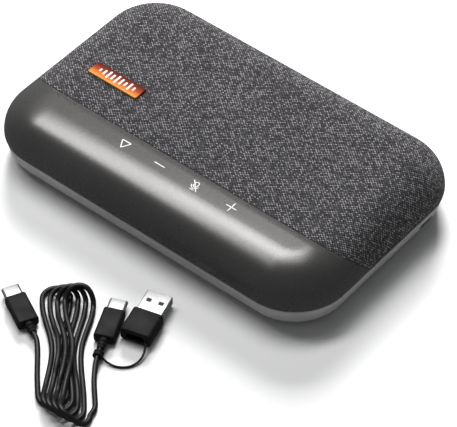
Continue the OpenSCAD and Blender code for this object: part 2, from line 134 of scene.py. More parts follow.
class Surface:
    """A Principled material that is built node by node, with its pattern in object coordinates."""

    def __init__(self, name, colour, roughness, **sockets):
        self.material = bpy.data.materials.new(name)
        self.material.use_nodes = True
        self.tree = self.material.node_tree
        self.shader = self.tree.nodes["Principled BSDF"]
        self.shader.inputs["Base Color"].default_value = (*colour, 1)
        self.shader.inputs["Roughness"].default_value = roughness
        for socket, value in sockets.items():
            self.shader.inputs[socket.replace("_", " ")].default_value = value
        self.place = self.node("ShaderNodeTexCoord").outputs["Object"]

    def node(self, kind, **settings):
        made = self.tree.nodes.new(kind)
        for key, value in settings.items():
            if hasattr(made, key):
                setattr(made, key, value)
            else:
                made.inputs[key.replace("_", " ")].default_value = value
        return made

    def join(self, source, target):
        self.tree.links.new(source, target)

    def math(self, operation, first, second=None, clamp=False):
        made = self.node("ShaderNodeMath", operation=operation, use_clamp=clamp)
        for slot, value in enumerate((first, second)):
            if value is None:
                continue
            if hasattr(value, "links"):
                self.join(value, made.inputs[slot])
            else:
                made.inputs[slot].default_value = value
        return made.outputs[0]

    def noise(self, per_mm, detail=3.0, roughness=0.5, place=None, stretch=None):
        """Noise with per_mm features to a millimetre, from 0 to 1."""
        made = self.node("ShaderNodeTexNoise")
        made.inputs["Scale"].default_value = per_mm / MM
        made.inputs["Detail"].default_value = detail
        made.inputs["Roughness"].default_value = roughness
        source = place or self.place
        if stretch:
            mapping = self.node("ShaderNodeMapping")
            mapping.inputs["Scale"].default_value = stretch
            self.join(source, mapping.inputs["Vector"])
            source = mapping.outputs[0]
        self.join(source, made.inputs["Vector"])
        return made.outputs["Fac"]

    def ramp(self, factor, stops):
        made = self.node("ShaderNodeValToRGB")
        ramp = made.color_ramp
        while len(ramp.elements) < len(stops):
            ramp.elements.new(0.5)
        for element, (position, value) in zip(ramp.elements, stops):
            element.position = position
            colour = value if hasattr(value, "__len__") else (value, value, value)
            element.color = (*colour, 1)
        self.join(factor, made.inputs["Fac"])
        return made.outputs["Color"]

    def blend_colours(self, factor, first, second, mode="MIX"):
        made = self.node("ShaderNodeMix", data_type="RGBA", blend_type=mode)
        made.inputs[0].default_value = factor
        self.join(first, made.inputs[6])
        self.join(second, made.inputs[7])
        return made.outputs[2]

    def bump(self, height, depth_mm, strength=1.0, below=None):
        made = self.node("ShaderNodeBump")
        made.inputs["Strength"].default_value = strength
        made.inputs["Distance"].default_value = depth_mm * MM
        self.join(height, made.inputs["Height"])
        if below:
            self.join(below, made.inputs["Normal"])
        return made.outputs["Normal"]

    def set(self, **sockets):
        for socket, source in sockets.items():
            self.join(source, self.shader.inputs[socket.replace("_", " ")])
        return self


def moulded(name, colour, roughness=0.5, grain_per_mm=2.4, grain_depth=0.02, variation=0.18, **sockets):
    """Moulded plastic or rubber: fine spark-eroded grain, slight mottling and uneven gloss."""
    surface = Surface(name, colour, roughness, **sockets)
    mottle = surface.noise(0.05, 4.0)
    dark = tuple(c * (1 - variation) for c in colour)
    light = tuple(min(1.0, c * (1 + variation)) for c in colour)
    grain = surface.noise(grain_per_mm, 2.0, 0.6)
    tint = surface.ramp(mottle, [(0.3, dark), (0.7, light)])
    speckled = surface.blend_colours(0.25, tint, surface.ramp(grain, [(0.35, dark), (0.65, light)]))
    smooth, rough = roughness * 0.88, min(1.0, roughness * 1.12)
    gloss = surface.ramp(surface.noise(0.12, 3.0), [(0.3, smooth), (0.7, rough)])
    return surface.set(Base_Color=speckled, Roughness=gloss, Normal=surface.bump(grain, grain_depth)).material


def brushed(name, colour, roughness=0.3, stretch=(1, 1, 0.05)):
    """Drawn or plated metal with fine lines along one direction."""
    surface = Surface(name, colour, roughness, Metallic=1.0)
    lines = surface.noise(6.0, 2.0, 0.6, stretch=stretch)
    cloud = surface.noise(0.15, 3.0)
    dark = tuple(c * 0.86 for c in colour)
    light = tuple(min(1, c * 1.1) for c in colour)
    tint = surface.ramp(cloud, [(0.3, dark), (0.7, light)])
    gloss = surface.ramp(lines, [(0.3, roughness * 0.75), (0.7, roughness * 1.3)])
    return surface.set(Base_Color=tint, Roughness=gloss, Normal=surface.bump(lines, 0.01, 0.6)).material


# ---------------------------------------------------------------- materials of the housing


def satin_paint():
    """Dark metallic paint under a satin clear coat, with fine flakes."""
    surface = Surface("satin_paint", (0.085, 0.082, 0.079), 0.28, Metallic=0.6, Specular_IOR_Level=0.35,
                      Coat_Weight=0.12, Coat_Roughness=0.25)
    flake = surface.noise(9.0, 1.0, 0.5)
    cloud = surface.noise(0.03, 3.0)
    sparkle = surface.ramp(flake, [(0.35, (0.109, 0.1065, 0.104)), (0.62, (0.117, 0.1145, 0.112)),
                                   (0.75, (0.128, 0.1255, 0.123))])
    tint = surface.blend_colours(0.35, sparkle, surface.ramp(cloud, [(0.35, (0.104, 0.1015, 0.099)),
                                                                    (0.65, (0.124, 0.122, 0.1195))]))
    gloss = surface.ramp(surface.noise(0.6, 3.0), [(0.3, 0.27), (0.7, 0.285)])
    return surface.set(Base_Color=tint, Roughness=gloss, Normal=surface.bump(flake, 0.0004, 0.3)).material


YARN = 0.85


def cover_fabric():
    """Plain weave of heather yarns. The vertex vector "weave" holds each point's place on the flat cloth."""
    surface = Surface("cover_fabric", (0.08, 0.078, 0.082), 0.9, Sheen_Weight=0.04, Sheen_Roughness=0.5)
    flat = surface.node("ShaderNodeAttribute", attribute_name="weave").outputs["Vector"]
    wander = surface.node("ShaderNodeTexNoise", noise_dimensions="3D")
    wander.inputs["Scale"].default_value = 0.55 / MM
    wander.inputs["Detail"].default_value = 2.0
    surface.join(flat, wander.inputs["Vector"])
    shift = surface.node("ShaderNodeVectorMath", operation="MULTIPLY_ADD")
    surface.join(wander.outputs["Color"], shift.inputs[0])
    shift.inputs[1].default_value = (0.30 * MM, 0.30 * MM, 0)
    surface.join(flat, shift.inputs[2])
    parts = surface.node("ShaderNodeSeparateXYZ")
    surface.join(shift.outputs[0], parts.inputs[0])
    across = surface.math("DIVIDE", parts.outputs["X"], YARN * MM)
    along = surface.math("DIVIDE", parts.outputs["Y"], YARN * MM * 0.8)
    column = surface.math("FLOOR", across)
    row = surface.math("FLOOR", along)
    over = surface.math("PINGPONG", surface.math("ADD", column, row), 1.0)
    in_column = surface.math("SUBTRACT", surface.math("FRACT", across), 0.5)
    in_row = surface.math("SUBTRACT", surface.math("FRACT", along), 0.5)

    def hump(offset, reach):
        """1 on the middle of a yarn, falling to 0 at its edge."""
        scaled = surface.math("MULTIPLY", offset, reach)
        return surface.math("SUBTRACT", 1.0, surface.math("MULTIPLY", scaled, scaled), clamp=True)

    warp = surface.math("MULTIPLY", hump(in_column, 1.9), hump(in_row, 1.1))
    weft = surface.math("MULTIPLY", hump(in_row, 1.9), hump(in_column, 1.1))
    weave = surface.node("ShaderNodeMix", data_type="FLOAT")
    surface.join(over, weave.inputs[0])
    surface.join(warp, weave.inputs[2])
    surface.join(weft, weave.inputs[3])
    height = weave.outputs[0]

    def yarn_tone(first, second, seed):
        """A random tone that stays the same along a short run of one yarn."""
        cell = surface.node("ShaderNodeCombineXYZ")
        surface.join(first, cell.inputs[0])
        surface.join(second, cell.inputs[1])
        cell.inputs[2].default_value = seed
        white = surface.node("ShaderNodeTexWhiteNoise", noise_dimensions="3D")
        surface.join(cell.outputs[0], white.inputs["Vector"])
        return white.outputs["Value"]

    tone = surface.node("ShaderNodeMix", data_type="FLOAT")
    surface.join(over, tone.inputs[0])
    surface.join(yarn_tone(column, row, 3.0), tone.inputs[2])
    surface.join(yarn_tone(column, row, 11.0), tone.inputs[3])
    heathered = surface.math("MULTIPLY", tone.outputs[0], 0.55)
    two_tone = surface.math("ADD", heathered, surface.math("MULTIPLY", over, 0.45))
    heather = surface.ramp(two_tone, [(0.0, (0.010, 0.0095, 0.011)), (0.4, (0.026, 0.0245, 0.027)),
                                      (0.7, (0.094, 0.089, 0.094)), (1.0, (0.30, 0.288, 0.30))])
    fibres = surface.noise(4.5, 3.0, 0.7, place=flat)
    fuzzy = surface.blend_colours(0.6, heather, surface.ramp(fibres, [(0.25, 0.35), (0.75, 1.5)]), "MULTIPLY")
    # Painted shade and painted highlight: the weave's height darkens the colour in the hollows between the
    # yarns and lightens it on their crowns
    painted_yarn_shade = surface.ramp(height, [(0.0, 0.12), (0.45, 0.75), (1.0, 1.25)])
    final = surface.blend_colours(1.0, fuzzy, painted_yarn_shade, "MULTIPLY")
    relief = surface.bump(height, 0.22, 0.9)
    relief = surface.bump(fibres, 0.05, 0.6, relief)
    return surface.set(Base_Color=final, Normal=relief).material


def badge_enamel():
    """Orange enamel with painted shade and a painted highlight: deep red-brown at the back edge, yellow at
    the front edge.
    """
    surface = Surface("badge_enamel", (0.8, 0.2, 0.02), 0.5, Specular_IOR_Level=0.2, Coat_Weight=0.06,
                      Coat_Roughness=0.2)
    parts = surface.node("ShaderNodeSeparateXYZ")
    surface.join(surface.place, parts.inputs[0])
    low = (BADGE_AT[1] - BADGE_SIZE[1] / 2) * MM
    high = (BADGE_AT[1] + BADGE_SIZE[1] / 2) * MM
    depth = surface.node("ShaderNodeMapRange")
    surface.join(parts.outputs["Y"], depth.inputs["Value"])
    depth.inputs["From Min"].default_value = low
    depth.inputs["From Max"].default_value = high
    wavy = surface.math("ADD", depth.outputs[0], surface.math("MULTIPLY", surface.noise(0.25, 2.0), 0.05))
    # Painted shade darkens the enamel towards the back edge, and a painted highlight brightens it towards the
    # front edge
    paint = surface.ramp(wavy, [(0.02, (0.95, 0.42, 0.08)), (0.16, (0.80, 0.21, 0.03)),
                                (0.5, (0.34, 0.052, 0.011)), (0.8, (0.13, 0.017, 0.007)),
                                (1.0, (0.055, 0.009, 0.005))])
    flake = surface.noise(7.0, 1.0)
    glitter = surface.ramp(flake, [(0.3, 0.2), (0.7, 1.0)])
    return surface.set(Base_Color=surface.blend_colours(0.12, paint, glitter, "MULTIPLY"),
                       Normal=surface.bump(flake, 0.003, 0.4)).material


PAINT = satin_paint()
FABRIC = cover_fabric()
BASE_PLASTIC = moulded("base_plastic", (0.37, 0.366, 0.36), 0.46, 3.0, 0.015, 0.10)
BLACK_PLASTIC = moulded("black_plastic", (0.016, 0.016, 0.017), 0.6)
RUBBER = moulded("rubber", (0.020, 0.020, 0.021), 0.8, 1.6, 0.04, 0.25)
BUTTON_PLASTIC = moulded("button_plastic", (0.10, 0.099, 0.097), 0.38, 3.0, 0.01, 0.10)
WHITE_PRINT = moulded("white_print", (0.86, 0.86, 0.86), 0.4, 5.0, 0.004, 0.04)
CORD_JACKET = moulded("cord_jacket", (0.010, 0.010, 0.0105), 0.40, 2.2, 0.03, 0.22)
PLUG_PLASTIC = moulded("plug_plastic", (0.008, 0.008, 0.0085), 0.62, 3.2, 0.02, 0.2, Specular_IOR_Level=0.3)
STEEL = brushed("plug_steel", (0.60, 0.60, 0.605), 0.42)
CONTACT_GOLD = brushed("contact_gold", (0.78, 0.56, 0.24), 0.3)
BADGE_PAINT = badge_enamel()

# Finishes of the parts inside, one for each slot
INSIDE = {
    "board_green": moulded("board_green", (0.012, 0.085, 0.040), 0.35, 1.2, 0.02, 0.3),
    "led_white": moulded("led_white", (0.85, 0.85, 0.70), 0.3, 4.0, 0.005, 0.06),
    "clear_guide": moulded("clear_guide", (0.80, 0.80, 0.80), 0.25, 3.0, 0.005, 0.05),
    "chip_black": moulded("chip_black", (0.018, 0.018, 0.020), 0.5, 3.0, 0.01, 0.2),
    "ribbon_film": moulded("ribbon_film", (0.55, 0.27, 0.05), 0.3, 0.9, 0.01, 0.2),
    "battery_wrap": moulded("battery_wrap", (0.03, 0.16, 0.08), 0.3, 0.8, 0.01, 0.15),
    "pressed_steel": brushed("pressed_steel", (0.36, 0.36, 0.37), 0.4),
    "screw_steel": brushed("screw_steel", (0.50, 0.50, 0.52), 0.35),
    "tinned_steel": STEEL,
    "cone_paper": moulded("cone_paper", (0.016, 0.016, 0.018), 0.9, 1.1, 0.06, 0.3),
    "coil_copper": brushed("coil_copper", (0.66, 0.30, 0.12), 0.35, (1, 1, 6)),
    "spider_cloth": moulded("spider_cloth", (0.46, 0.32, 0.12), 0.9, 1.4, 0.08, 0.3),
    "surround_rubber": moulded("surround_rubber", (0.014, 0.014, 0.014), 0.6, 1.6, 0.03, 0.2),
    "tongue_white": moulded("tongue_white", (0.72, 0.72, 0.70), 0.4, 2.5, 0.01, 0.06),
    "base_plastic": BASE_PLASTIC,
    "rubber": RUBBER,
    "satin_paint": PAINT,
    "black_plastic": BLACK_PLASTIC,
    "cover_fabric": FABRIC,
    "badge_enamel": BADGE_PAINT,
    "white_print": WHITE_PRINT,
    "button_plastic": BUTTON_PLASTIC,
    "cord_black": CORD_JACKET,
    "plug_plastic": PLUG_PLASTIC,
}


def finish_cad_nodes():
    """Every CAD node gets its slot's material; those that a piece replaces stay hidden."""
    for entry in frame["record"]["subparts"]:
        node = frame["nodes"][entry["node"]]
        node.data.materials.clear()
        node.data.materials.append(INSIDE[entry["material_slot"]])


# ---------------------------------------------------------------- mesh helpers


def make_piece(name, bm, material, body, replaced=(), matrix=None):
    """Turns a bmesh in millimetres into a piece in metres that rides on a body."""
    bmesh.ops.recalc_face_normals(bm, faces=bm.faces[:])
    mesh = bpy.data.meshes.new(name)
    bm.to_mesh(mesh)
    bm.free()
    if matrix is not None:
        mesh.transform(matrix)
    mesh.transform(Matrix.Scale(MM, 4))
    for polygon in mesh.polygons:
        polygon.use_smooth = True
    mesh.materials.append(material)
    piece = bpy.data.objects.new(name, mesh)
    bpy.context.scene.collection.objects.link(piece)
    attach(piece, body)
    if replaced:
        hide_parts(*replaced)
    return piece


def apply_modifiers(piece):
    """Bakes the modifiers of a piece into its mesh."""
    graph = bpy.context.evaluated_depsgraph_get()
    made = bpy.data.meshes.new_from_object(piece.evaluated_get(graph), preserve_all_data_layers=True,
                                           depsgraph=graph)
    piece.modifiers.clear()
    piece.data = made


def round_edges(piece, width, segments=3, angle=35):
    bevel = piece.modifiers.new("round", "BEVEL")
    bevel.width = width * MM
    bevel.segments = segments
    bevel.limit_method = "ANGLE"
    bevel.angle_limit = math.radians(angle)
    bevel.harden_normals = False


def thicken(piece, thickness):
    solid = piece.modifiers.new("wall", "SOLIDIFY")
    solid.thickness = thickness * MM
    solid.offset = -1
    solid.use_even_offset = False


def outline_frames(length, width, radius, corner_steps=18, side_step=4.0):
    """Points round a rounded rectangle as (corner centre, outward normal), its straight sides divided."""
    frames = []
    corners = [(1, 1, 0), (-1, 1, 90), (-1, -1, 180), (1, -1, 270)]
    for index, (sx, sy, start) in enumerate(corners):
        centre = Vector((sx * (length / 2 - radius), sy * (width / 2 - radius)))
        for step in range(corner_steps + 1):
            angle = math.radians(start + 90 * step / corner_steps)
            frames.append((centre, Vector((math.cos(angle), math.sin(angle)))))
        nx, ny, _ = corners[(index + 1) % 4]
        following = Vector((nx * (length / 2 - radius), ny * (width / 2 - radius)))
        gap = (following - centre).length
        pieces = max(1, round(gap / side_step))
        for step in range(1, pieces):
            frames.append((centre.lerp(following, step / pieces), frames[-1][1].copy()))
    return frames


def rings_to_bmesh(rings, cap_first=True, cap_last=True, weave=None):
    """A tube of quads through rings of (x, y, z); weave holds a flat place for every point."""
    bm = bmesh.new()
    layer = bm.verts.layers.float_vector.new("weave") if weave else None
    made = []
    for ring_index, ring in enumerate(rings):
        row = [bm.verts.new(point) for point in ring]
        if layer is not None:
            for vert, place in zip(row, weave[ring_index]):
                vert[layer] = place
        made.append(row)
    count = len(rings[0])
    for lower, upper in zip(made, made[1:]):
        for i in range(count):
            j = (i + 1) % count
            bm.faces.new((lower[i], lower[j], upper[j], upper[i]))
    if cap_first:
        bm.faces.new(list(reversed(made[0])))
    if cap_last:
        bm.faces.new(made[-1])
    return bm


def roll_inset(t):
    return ROLL_IN * (1 - math.cos(t) ** (2 / ROLL_POWER))


def roll_height(t):
    return CROWN_H * math.sin(t) ** (2 / ROLL_POWER)


BODY_FRAMES = outline_frames(BODY_L, BODY_W, CORNER_R)


def body_ring(inset, z):
    return [(*(centre + (CORNER_R - inset) * normal), z) for centre, normal in BODY_FRAMES]


def crown_bmesh(first_z, steps=30):
    """The smooth outer skin above the seam, open below. Its "weave" vectors unroll it flat, in metres."""
    start = math.asin(((first_z - SEAM_Z) / CROWN_H) ** (ROLL_POWER / 2))
    angles = [start + (math.pi / 2 - start) * k / steps for k in range(steps + 1)]
    places = [(roll_inset(t), SEAM_Z + roll_height(t)) for t in angles]
    places += [(ROLL_IN + extra, TOP_Z) for extra in (1.4, 3.0, 4.8)]
    lengths = [0.0]
    for (inset, z), (next_inset, next_z) in zip(places, places[1:]):
        lengths.append(lengths[-1] + math.hypot(next_inset - inset, next_z - z))
    total = lengths[-1]
    rings = [body_ring(inset, z) for inset, z in places]
    inner_r = CORNER_R - places[-1][0]
    weave = [[(*((centre + (inner_r + total - run) * normal) * MM), 0.0) for centre, normal in BODY_FRAMES]
             for run in lengths]
    return rings_to_bmesh(rings, cap_first=False, weave=weave)


def slice_all(bm, planes):
    """Cuts edges along each (point, normal) plane and removes nothing."""
    for point, normal in planes:
        bmesh.ops.bisect_plane(bm, geom=bm.verts[:] + bm.edges[:] + bm.faces[:], dist=1e-5,
                               plane_co=point, plane_no=normal)


def keep_faces(bm, test):
    gone = [face for face in bm.faces if not test(face.calc_center_median())]
    bmesh.ops.delete(bm, geom=gone, context="FACES")


def fabric_planes(margin):
    """Half-spaces whose common part is the fabric's area, grown by margin: a front edge that leans back
    down the sides, a straight hem and a rounded corner between them."""
    front, hem = FABRIC_FRONT - margin, LIP_Z + 0.12 - margin
    facing = Vector((0, math.cos(FABRIC_LEAN), math.sin(FABRIC_LEAN)))
    planes = [(Vector((0, front, TOP_Z)), facing), (Vector((0, 0, hem)), Vector((0, 0, 1)))]
    radius = FABRIC_CORNER_R + margin
    centre_z = hem + radius
    centre = Vector((0, front + (radius - (centre_z - TOP_Z) * facing.z) / facing.y, centre_z))
    for step in range(1, 6):
        angle = FABRIC_LEAN + (math.pi / 2 - FABRIC_LEAN) * step / 6
        normal = Vector((0, math.cos(angle), math.sin(angle)))
        planes.append((centre - radius * normal, normal))
    return planes


def inside(planes, point):
    return all((point - origin).dot(normal) > 0 for origin, normal in planes)


def stadium_ring(size, radius, inset, z, steps=8):
    """One ring of a rounded rectangle prism, pulled in by inset."""
    frames = outline_frames(size[0], size[1], radius, steps, 1e6)
    return [(*(centre + max(radius - inset, 0.02) * normal), z) for centre, normal in frames]


def prism_rings(size, radius, z0, z1, edge, edge_end=None, steps=8, edge_steps=4):
    """Rings of a prism whose first and last edges are rounded by edge and edge_end."""
    edge_end = edge if edge_end is None else edge_end
    rings = []
    for k in range(edge_steps + 1):
        a = math.pi / 2 * k / edge_steps
        inset, height = edge * (1 - math.sin(a)), z0 + edge * (1 - math.cos(a))
        rings.append(stadium_ring(size, radius, inset, height, steps))
    for k in range(edge_steps + 1):
        a = math.pi / 2 * k / edge_steps
        inset, height = edge_end * (1 - math.cos(a)), z1 - edge_end * (1 - math.sin(a))
        rings.append(stadium_ring(size, radius, inset, height, steps))
    return rings


# ---------------------------------------------------------------- housing


def build_upper_shell():
    bm = crown_bmesh(SEAM_Z + SEAM_GAP / 2)
    cloth = fabric_planes(BAND_GAP)
    slice_all(bm, cloth)
    keep_faces(bm, lambda point: not inside(cloth, point))
    shell = make_piece("front_band_shell", bm, PAINT, "housing", ["upper_shell"])
    thicken(shell, WALL)
    round_edges(shell, 0.28, 3, 40)
    apply_modifiers(shell)


def build_fabric():
    """The stretched cover."""
    bm = crown_bmesh(SEAM_Z + SEAM_GAP)
    cloth = fabric_planes(0.0)
    slice_all(bm, cloth)
    keep_faces(bm, lambda point: inside(cloth, point))
    cover = make_piece("woven_cover", bm, FABRIC, "housing", ["fabric_cover"])
    thicken(cover, FABRIC_T)
    round_edges(cover, 0.42, 3, 40)
    apply_modifiers(cover)


def cutter(name, bm, matrix):
    """A temporary solid for a boolean cut."""
    bmesh.ops.recalc_face_normals(bm, faces=bm.faces[:])
    mesh = bpy.data.meshes.new(name)
    bm.to_mesh(mesh)
    bm.free()
    mesh.transform(matrix)
    mesh.transform(Matrix.Scale(MM, 4))
    tool = bpy.data.objects.new(name, mesh)
    bpy.context.scene.collection.objects.link(tool)
    return tool


def subtract(piece, tools):
    for tool in tools:
        cut = piece.modifiers.new("cut", "BOOLEAN")
        cut.operation = "DIFFERENCE"
        cut.solver = "EXACT"
        cut.object = tool
    apply_modifiers(piece)
    for tool in tools:
        bpy.data.objects.remove(tool)


ALONG_X = Matrix.Rotation(math.pi / 2, 4, "Z") @ Matrix.Rotation(math.pi / 2, 4, "X")
ALONG_Y = Matrix.Rotation(math.pi / 2, 4, "X")


def ring_band_bmesh(inset, band, z0, z1, edge):
    """A rounded-rectangle ring, with its outer and inner walls joined above and below."""
    rings = []
    for k in range(5):
        a = math.pi / 2 * k / 4
        rings.append(body_ring(inset + edge * (1 - math.sin(a)), z0 + edge * (1 - math.cos(a))))
    rings.append(body_ring(inset, z1))
    rings.append(body_ring(inset + band, z1))
    for k in range(5):
        a = math.pi / 2 * k / 4
        rings.append(body_ring(inset + band - edge * (1 - math.cos(a)), z0 + edge * (1 - math.sin(a))))
    bm = rings_to_bmesh(rings, cap_first=False, cap_last=False)
    rows = [list(bm.verts)[k * len(BODY_FRAMES):(k + 1) * len(BODY_FRAMES)] for k in (0, len(rings) - 1)]
    for i in range(len(BODY_FRAMES)):
        j = (i + 1) % len(BODY_FRAMES)
        bm.faces.new((rows[0][i], rows[0][j], rows[1][j], rows[1][i]))
    return bm


def build_base_shell():
    """Lower shell: a drafted ring, a rounded lower edge and an undercut floor, hollow inside."""
    profile = [(8.0, 2.0), (5.2, 2.28), (3.6, 2.75), (2.75, 3.35), (2.25, 4.2), (1.85, 5.3), (0.95, 9.2),
               (0.30, 12.0), (0.42, 12.28), (0.62, 12.35), (2.2, 12.35), (2.9, 12.1), (3.4, 9.0), (4.6, 4.6)]
    rings = [body_ring(inset, z) for inset, z in profile]
    bm = rings_to_bmesh(rings)
    shell = make_piece("lower_shell", bm, BASE_PLASTIC, "housing", ["base_shell"])
    tools = [cutter("port", rings_to_bmesh(prism_rings(PORT_SIZE, PORT_SIZE[1] / 2 - 0.01, 0, 12, 0.01)),
                    Matrix.Translation((BODY_L / 2 - 8, PORT_Y, PORT_Z)) @ ALONG_X)]
    for name, x in BUTTON_X.items():
        size = tuple(side + 2 * BUTTON_GAP for side in BUTTON_SIZE)
        tools.append(cutter(name, rings_to_bmesh(prism_rings(size, size[1] / 2 - 0.01, 0, 8, 0.01)),
                            Matrix.Translation((x, BODY_W / 2 + 2, BUTTON_Z)) @ ALONG_Y))
    tools.append(cutter("groove", ring_band_bmesh(FOOT_INSET - 0.1, FOOT_BAND + 0.2, 1.0, FOOT_H, 0.01),
                        Matrix.Identity(4)))
    subtract(shell, tools)
    round_edges(shell, 0.22, 2, 50)
    apply_modifiers(shell)
    for polygon in shell.data.polygons:
        polygon.use_smooth = True


def build_foot():
    bm = ring_band_bmesh(FOOT_INSET + 0.1, FOOT_BAND - 0.2, 0.0, FOOT_H, 0.7)
    make_piece("rubber_foot", bm, RUBBER, "housing", ["foot_pad"])


def build_seam_gasket():
    bm = ring_band_bmesh(0.7, WALL - 0.7, SEAM_Z - 0.25, SEAM_Z + SEAM_GAP / 2, 0.05)
    make_piece("seam_seal", bm, RUBBER, "housing", ["seam_gasket"])


def build_buttons():
    for name, x in BUTTON_X.items():
        rings = prism_rings(BUTTON_SIZE, BUTTON_SIZE[1] / 2 - 0.01, 0, 5, 0.55, 0.05, 10)
        dome = [[(px * 0.82, py * 0.82, -0.05) for px, py, _ in rings[0]],
                [(px * 0.45, py * 0.45, -0.09) for px, py, _ in rings[0]]]
        bm = rings_to_bmesh(list(reversed(dome)) + rings)
        make_piece(name + "_cap", bm, BUTTON_PLASTIC, name, [name],
                   matrix=Matrix.Translation((x, BUTTON_FACE_Y, BUTTON_Z)) @ ALONG_Y)
        mark = ring_mark() if name == "power_button" else wave_mark()
        on_cap = Matrix.Translation((x, BUTTON_FACE_Y + 0.12, BUTTON_Z)) @ Matrix.Rotation(math.pi, 4, "Z")
        make_piece(name + "_mark", mark, WHITE_PRINT, name, matrix=on_cap @ ALONG_Y)


# ---------------------------------------------------------------- printed marks


def arc(centre, radius, start, end, steps):
    return [(centre[0] + radius * math.cos(math.radians(start + (end - start) * k / steps)),
             centre[1] + radius * math.sin(math.radians(start + (end - start) * k / steps)))
            for k in range(steps + 1)]


def add_stroke(bm, points, width, height=0.09, closed=False):
    """A flat printed line along points, with round ends when open."""
    points = [Vector(p) for p in points]
    if not closed:
        first = (points[0] - points[1]).normalized()
        last = (points[-1] - points[-2]).normalized()
        points = [points[0] + first * width * 0.25] + points + [points[-1] + last * width * 0.25]
    count = len(points)
    sections = []
    for i, point in enumerate(points):
        before = points[i - 1] if (i or closed) else point
        after = points[(i + 1) % count] if (i < count - 1 or closed) else point
        tangent = (after - before).normalized()
        side = Vector((-tangent.y, tangent.x))
        half = width / 2 * (0.72 if not closed and i in (0, count - 1) else 1.0)
        profile = [(half, 0.0), (half * 0.96, height * 0.7), (half * 0.8, height), (-half * 0.8, height),
                   (-half * 0.96, height * 0.7), (-half, 0.0)]
        sections.append([bm.verts.new((*(point + side * offset), z)) for offset, z in profile])
    pairs = list(zip(sections, sections[1:])) + ([(sections[-1], sections[0])] if closed else [])
    for one, two in pairs:
        for k in range(6):
            bm.faces.new((one[k], two[k], two[(k + 1) % 6], one[(k + 1) % 6]))
    if not closed:
        bm.faces.new(sections[0])
        bm.faces.new(list(reversed(sections[-1])))


def ring_mark():
    bm = bmesh.new()
    add_stroke(bm, arc((0, 0), 0.85, 120, 420, 20), 0.26)
    add_stroke(bm, [(0, 0.35), (0, 1.15)], 0.26)
    return bm


def wave_mark():
    bm = bmesh.new()
    add_stroke(bm, arc((0, 0), 0.35, 0, 350, 14), 0.26)
    for side in (0, 180):
        add_stroke(bm, arc((0, 0), 1.05, side - 38, side + 38, 10), 0.24)
    return bm


def icon_triangle(bm, line):
    points = []
    corners = [(0, -2.75, 270), (2.5, 1.75, 30), (-2.5, 1.75, 150)]
    radius = 0.3
    for x, y, facing in corners:
        angle = math.radians(facing)
        inner = (x - 2 * radius * math.cos(angle), y - 2 * radius * math.sin(angle))
        points += arc(inner, radius, facing - 60, facing + 60, 8)
    add_stroke(bm, points, line, closed=True)


def icon_minus(bm, line):
    add_stroke(bm, [(-2.9, 0), (0, 0), (2.9, 0)], line)


def icon_microphone(bm, line):
    capsule = arc((0, 1.5), 0.95, 0, 180, 10) + arc((0, 0.1), 0.95, 180, 360, 10)
    add_stroke(bm, capsule, line * 0.85, closed=True)
    add_stroke(bm, arc((0, 0.1), 1.85, 185, 355, 14), line * 0.85)
    add_stroke(bm, [(0, -1.75), (0, -2.6)], line * 0.85)
    add_stroke(bm, [(-1.1, -2.65), (1.1, -2.65)], line * 0.85)
    add_stroke(bm, [(-2.5, 2.6), (2.5, -2.7)], line)


def icon_plus(bm, line):
    add_stroke(bm, [(-2.75, 0), (0, 0), (2.75, 0)], line)
    add_stroke(bm, [(0, -2.75), (0, 0), (0, 2.75)], line)


ICONS = {"call_symbol": icon_triangle, "volume_down_symbol": icon_minus, "mute_symbol": icon_microphone,
         "volume_up_symbol": icon_plus}
ICON_LINE = 0.5


def build_icons():
    for index, (name, draw) in enumerate(ICONS.items()):
        bm = bmesh.new()
        draw(bm, ICON_LINE)
        make_piece(name, bm, WHITE_PRINT, "housing", ["touch_symbols"],
                   matrix=Matrix.Translation((ICON_X0 + index * ICON_PITCH, ICON_Y, TOP_Z)))


def build_badge():
    plate = rings_to_bmesh(prism_rings(BADGE_SIZE, 1.0, 0, BADGE_T, 0.05, 0.42, 8))
    at_badge = Matrix.Translation((*BADGE_AT, TOP_Z))
    make_piece("orange_badge", plate, BADGE_PAINT, "housing", ["badge"], matrix=at_badge)
    marks = bmesh.new()
    heights = (1.4, 2.8, 4.4, 3.0, 4.8, 3.6, 2.2, 4.2, 1.8)
    pitch = 2.5
    for index, height in enumerate(heights):
        x = (index - (len(heights) - 1) / 2) * pitch
        add_stroke(marks, [(x, -height / 2), (x, height / 2)], 1.0, 0.06)
    make_piece("level_bars", marks, WHITE_PRINT, "housing",
               matrix=Matrix.Translation((*BADGE_AT, TOP_Z + BADGE_T)))


# ---------------------------------------------------------------- cable

ON_TABLE = Matrix.Translation(CABLE_AT) @ Matrix.Rotation(CABLE_TURN, 4, "Z")


def lay_from(tail, turn):
    """Lays a piece that is built along +Z on the table, with its base at tail."""
    return (ON_TABLE @ Matrix.Translation(tail) @ Matrix.Rotation(math.radians(turn), 4, "Z")
            @ Matrix.Rotation(-math.pi / 2, 4, "X"))


LOOPS = 4
FOLD_R = 6.2
# Upper folds: middle and far end of each turn. Lower folds: left side and near end, the first one from lead a
UPPER_FOLDS = [(-3.8, 39.6), (-0.4, 38.2), (3.0, 36.8), (6.4, 35.4)]
LOWER_FOLDS = [(-9.2, -27.2), (-6.8, -30.4), (-4.4, -33.4), (-1.8, -36.0), (1.0, -38.4)]
WAIST_Y, WAIST_LEFT, WAIST_PITCH, WAIST_GAP = 2.0, -4.4, 3.0, 3.6


def fold(middle, end, start, stop):
    """A half turn in plan about a point one radius inside its end."""
    centre = Vector((middle, end))
    return [centre + FOLD_R * Vector((math.cos(math.radians(a)), math.sin(math.radians(a))))
            for a in [start + (stop - start) * k / 8 for k in range(9)]]


def strand(low, high, waist_x):
    """A long run in plan from its lower fold to its upper one, drawn in at the waist."""
    run = []
    for step in range(1, 8):
        y = low.y + (high.y - low.y) * step / 8
        end = low if y < WAIST_Y else high
        share = (1 - math.cos(math.pi * (y - WAIST_Y) / (end.y - WAIST_Y))) / 2
        run.append(Vector((waist_x + (end.x - waist_x) * share, y)))
    return run


